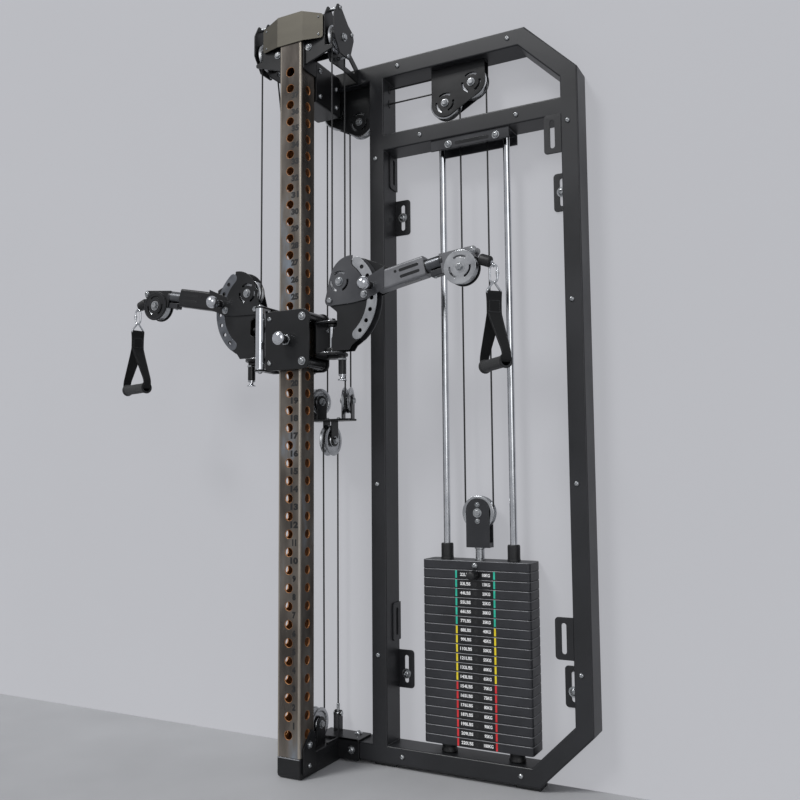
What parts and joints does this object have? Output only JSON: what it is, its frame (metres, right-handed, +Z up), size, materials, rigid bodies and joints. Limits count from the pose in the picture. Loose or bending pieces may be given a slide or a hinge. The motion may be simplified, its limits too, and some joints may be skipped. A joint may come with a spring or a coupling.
{
  "type": "wall pulley weight stack",
  "caption": "Wall-mounted pulley machine: perforated column with sliding carriage, adjustable cable arms, stirrup handles and a selectorised weight stack in a tube frame.",
  "frame": {"origin": "centre line of the column at floor level, on the foot beam's underside", "axes": "+Z up along the column, +Y back to the wall, +X to the right along the wall towards the weight stack"},
  "size_m": [1.4735, 0.3563, 2.2104],
  "materials": {
    "frame_black": "satin",
    "part_black": "semi-gloss",
    "raw_steel": "satin",
    "polished_rod": "polished",
    "pulley_alloy": "machined",
    "weight_black": "satin",
    "cable_black": "smooth",
    "knob_black": "satin",
    "strap_black": "woven",
    "grip_foam": "textured"
  },
  "bodies": {
    "frame": {"wall_frame": "frame_black", "column": "raw_steel", "foot_beam": "part_black", "name_plate": "raw_steel", "head_frame": "part_black", "column_pulley_bracket": "part_black", "stack_pulley_bracket": "part_black", "guide_rod_left": "polished_rod", "guide_rod_right": "polished_rod", "weight_plates_02_to_19": "weight_black"},
    "head_pulley_left": {"head_pulley_left": "pulley_alloy"},
    "head_pulley_right": {"head_pulley_right": "pulley_alloy"},
    "column_bracket_pulley_left": {"column_bracket_pulley_left": "pulley_alloy"},
    "column_bracket_pulley_right": {"column_bracket_pulley_right": "pulley_alloy"},
    "stack_bracket_pulley_left": {"stack_bracket_pulley_left": "pulley_alloy"},
    "stack_bracket_pulley_right": {"stack_bracket_pulley_right": "pulley_alloy"},
    "base_pulley": {"base_pulley": "pulley_alloy"},
    "carriage": {"carriage": "part_black", "cable_carriage": "cable_black", "cable_strand_right": "cable_black", "cable_strand_left": "cable_black"},
    "carriage_pop_pin": {"carriage_pop_pin": "polished_rod"},
    "block": {"block_frame": "part_black", "cable_block_right": "cable_black", "cable_block_left": "cable_black", "cable_upper_left": "cable_black", "cable_upper_right": "cable_black", "cable_block_lower": "cable_black"},
    "block_pulley_lower": {"block_pulley_lower": "pulley_alloy"},
    "block_pulley_left": {"block_pulley_left": "pulley_alloy"},
    "block_pulley_right": {"block_pulley_right": "pulley_alloy"},
    "lift": {"lift_head": "part_black", "weight_plate_01": "weight_black", "cable_lift": "cable_black"},
    "lift_pulley": {"lift_pulley": "pulley_alloy"},
    "selector_pin": {"selector_pin": "knob_black"},
    "arm_yaw_right": {"yaw_body_right": "part_black"},
    "yaw_pin_right": {"yaw_pin_right": "polished_rod"},
    "arm_right": {"arm_right": "part_black", "cable_arm_right": "cable_black"},
    "pitch_pin_right": {"pitch_pin_right": "polished_rod"},
    "pivot_pulley_right": {"pivot_pulley_right": "pulley_alloy"},
    "arm_head_right": {"arm_head_right": "part_black", "cable_end_right": "cable_black"},
    "end_pulley_right": {"end_pulley_right": "pulley_alloy"},
    "handle_link_right": {"handle_link_right": "polished_rod"},
    "handle_strap_right": {"handle_strap_right": "strap_black"},
    "handle_grip_right": {"handle_grip_right": "grip_foam"},
    "arm_yaw_left": {"yaw_body_left": "part_black"},
    "yaw_pin_left": {"yaw_pin_left": "polished_rod"},
    "arm_left": {"arm_left": "part_black", "cable_arm_left": "cable_black"},
    "pitch_pin_left": {"pitch_pin_left": "polished_rod"},
    "pivot_pulley_left": {"pivot_pulley_left": "pulley_alloy"},
    "arm_head_left": {"arm_head_left": "part_black", "cable_end_left": "cable_black"},
    "end_pulley_left": {"end_pulley_left": "pulley_alloy"},
    "handle_link_left": {"handle_link_left": "polished_rod"},
    "handle_strap_left": {"handle_strap_left": "strap_black"},
    "handle_grip_left": {"handle_grip_left": "grip_foam"}
  },
  "joints": [
    {"name": "head_pulley_left_spin", "type": "hinge", "parent": "frame", "child": "head_pulley_left", "pos_m": [-0.124, 0.0305, 2.1204], "axis": [1, 0, 0], "continuous": true},
    {"name": "head_pulley_right_spin", "type": "hinge", "parent": "frame", "child": "head_pulley_right", "pos_m": [0.124, 0.0305, 2.1204], "axis": [1, 0, 0], "continuous": true},
    {"name": "column_bracket_pulley_left_spin", "type": "hinge", "parent": "frame", "child": "column_bracket_pulley_left", "pos_m": [0.012, 0.218, 1.9799], "axis": [0, 1, 0], "continuous": true},
    {"name": "column_bracket_pulley_right_spin", "type": "hinge", "parent": "frame", "child": "column_bracket_pulley_right", "pos_m": [0.096, 0.218, 1.9347], "axis": [0, 1, 0], "continuous": true},
    {"name": "stack_bracket_pulley_left_spin", "type": "hinge", "parent": "frame", "child": "stack_bracket_pulley_left", "pos_m": [0.389, 0.218, 1.9347], "axis": [0, 1, 0], "continuous": true},
    {"name": "stack_bracket_pulley_right_spin", "type": "hinge", "parent": "frame", "child": "stack_bracket_pulley_right", "pos_m": [0.473, 0.218, 1.9799], "axis": [0, 1, 0], "continuous": true},
    {"name": "base_pulley_spin", "type": "hinge", "parent": "frame", "child": "base_pulley", "pos_m": [0, 0.1085, 0.1144], "axis": [1, 0, 0], "continuous": true},
    {"name": "carriage_slide", "type": "slide", "parent": "frame", "child": "carriage", "axis": [0, 0, 1], "range_m": [-0.7, 0.5], "deforming": ["cable_strand_right", "cable_strand_left", "cable_carriage"]},
    {"name": "carriage_pop_pin_pull", "type": "slide", "parent": "carriage", "child": "carriage_pop_pin", "axis": [0, -1, 0], "range_m": [0, 0.012], "stiffness_N_per_m": 600, "springref_m": -0.01},
    {"name": "block_slide", "type": "slide", "parent": "frame", "child": "block", "axis": [0, 0, 1], "range_m": [-0.26, 0.36], "deforming": ["cable_block_right", "cable_block_left", "cable_upper_left", "cable_upper_right", "cable_block_lower"]},
    {"name": "block_pulley_lower_spin", "type": "hinge", "parent": "block", "child": "block_pulley_lower", "pos_m": [0, 0.1875, 0.9404], "axis": [1, 0, 0], "continuous": true},
    {"name": "block_pulley_left_spin", "type": "hinge", "parent": "block", "child": "block_pulley_left", "pos_m": [-0.0405, 0.1835, 1.0594], "axis": [0.9563, -0.2924, 0], "continuous": true},
    {"name": "block_pulley_right_spin", "type": "hinge", "parent": "block", "child": "block_pulley_right", "pos_m": [0.0645, 0.1835, 1.0594], "axis": [0.9563, 0.2924, 0], "continuous": true},
    {"name": "stack_lift", "type": "slide", "parent": "frame", "child": "lift", "axis": [0, 0, 1], "range_m": [0, 0.98], "deforming": ["cable_lift"]},
    {"name": "lift_pulley_spin", "type": "hinge", "parent": "lift", "child": "lift_pulley", "pos_m": [0.473, 0.218, 0.7254], "axis": [0, 1, 0], "continuous": true},
    {"name": "selector_pin_pull", "type": "slide", "parent": "lift", "child": "selector_pin", "axis": [0, -1, 0], "range_m": [0, 0.045]},
    {"name": "arm_yaw_right_turn", "type": "hinge", "parent": "carriage", "child": "arm_yaw_right", "pos_m": [0.124, -0.0055, 1.2184], "axis": [0, 0, -1], "range_deg": [0, 70]},
    {"name": "yaw_pin_right_pull", "type": "slide", "parent": "arm_yaw_right", "child": "yaw_pin_right", "axis": [0, 0, -1], "range_m": [0, 0.012], "stiffness_N_per_m": 600, "springref_m": -0.01},
    {"name": "arm_pitch_right", "type": "hinge", "parent": "arm_yaw_right", "child": "arm_right", "pos_m": [0.129, -0.0055, 1.3244], "axis": [0, -1, 0], "range_deg": [-56, 28]},
    {"name": "pitch_pin_right_pull", "type": "slide", "parent": "arm_right", "child": "pitch_pin_right", "axis": [0, -1, 0], "range_m": [0, 0.012], "stiffness_N_per_m": 600, "springref_m": -0.01},
    {"name": "pivot_pulley_right_spin", "type": "hinge", "parent": "arm_right", "child": "pivot_pulley_right", "pos_m": [0.16, -0.0055, 1.3754], "axis": [0, 1, 0], "continuous": true},
    {"name": "arm_head_right_swivel", "type": "hinge", "parent": "arm_right", "child": "arm_head_right", "pos_m": [0.46548, -0.0055, 1.39938], "axis": [0.9808, 0, 0.1949], "range_deg": [-90, 30]},
    {"name": "end_pulley_right_spin", "type": "hinge", "parent": "arm_head_right", "child": "end_pulley_right", "pos_m": [0.5245, -0.0055, 1.3744], "axis": [0, 1, 0], "continuous": true},
    {"name": "handle_link_right_swing", "type": "hinge", "parent": "arm_head_right", "child": "handle_link_right", "pos_m": [0.61216, -0.0055, 1.37231], "axis": [1, 0, 0], "range_deg": [-40, 25]},
    {"name": "handle_strap_right_swing", "type": "hinge", "parent": "handle_link_right", "child": "handle_strap_right", "pos_m": [0.61216, -0.0055, 1.29871], "axis": [0.6947, 0.7193, 0], "range_deg": [-60, 60]},
    {"name": "handle_grip_right_spin", "type": "hinge", "parent": "handle_strap_right", "child": "handle_grip_right", "pos_m": [0.61216, -0.0055, 1.11471], "axis": [0.7193, -0.6947, 0], "continuous": true},
    {"name": "arm_yaw_left_turn", "type": "hinge", "parent": "carriage", "child": "arm_yaw_left", "pos_m": [-0.124, -0.0055, 1.2184], "axis": [0, 0, 1], "range_deg": [0, 70]},
    {"name": "yaw_pin_left_pull", "type": "slide", "parent": "arm_yaw_left", "child": "yaw_pin_left", "axis": [0, 0, -1], "range_m": [0, 0.012], "stiffness_N_per_m": 600, "springref_m": -0.01},
    {"name": "arm_pitch_left", "type": "hinge", "parent": "arm_yaw_left", "child": "arm_left", "pos_m": [-0.129, -0.0055, 1.3244], "axis": [0, 1, 0], "range_deg": [-56, 28]},
    {"name": "pitch_pin_left_pull", "type": "slide", "parent": "arm_left", "child": "pitch_pin_left", "axis": [0, -1, 0], "range_m": [0, 0.012], "stiffness_N_per_m": 600, "springref_m": -0.01},
    {"name": "pivot_pulley_left_spin", "type": "hinge", "parent": "arm_left", "child": "pivot_pulley_left", "pos_m": [-0.16, -0.0055, 1.3754], "axis": [0, 1, 0], "continuous": true},
    {"name": "arm_head_left_swivel", "type": "hinge", "parent": "arm_left", "child": "arm_head_left", "pos_m": [-0.46548, -0.0055, 1.39938], "axis": [0.9808, 0, -0.1949], "range_deg": [-90, 30]},
    {"name": "end_pulley_left_spin", "type": "hinge", "parent": "arm_head_left", "child": "end_pulley_left", "pos_m": [-0.5245, -0.0055, 1.3744], "axis": [0, 1, 0], "continuous": true},
    {"name": "handle_link_left_swing", "type": "hinge", "parent": "arm_head_left", "child": "handle_link_left", "pos_m": [-0.61216, -0.0055, 1.37231], "axis": [1, 0, 0], "range_deg": [-40, 25]},
    {"name": "handle_strap_left_swing", "type": "hinge", "parent": "handle_link_left", "child": "handle_strap_left", "pos_m": [-0.61216, -0.0055, 1.29871], "axis": [0.309, 0.9511, 0], "range_deg": [-60, 60]},
    {"name": "handle_grip_left_spin", "type": "hinge", "parent": "handle_strap_left", "child": "handle_grip_left", "pos_m": [-0.61216, -0.0055, 1.11471], "axis": [0.9511, -0.309, 0], "continuous": true}
  ],
  "couplings": [
    {"joint": "block_slide", "follows": "carriage_slide", "ratio": -0.5}
  ]
}
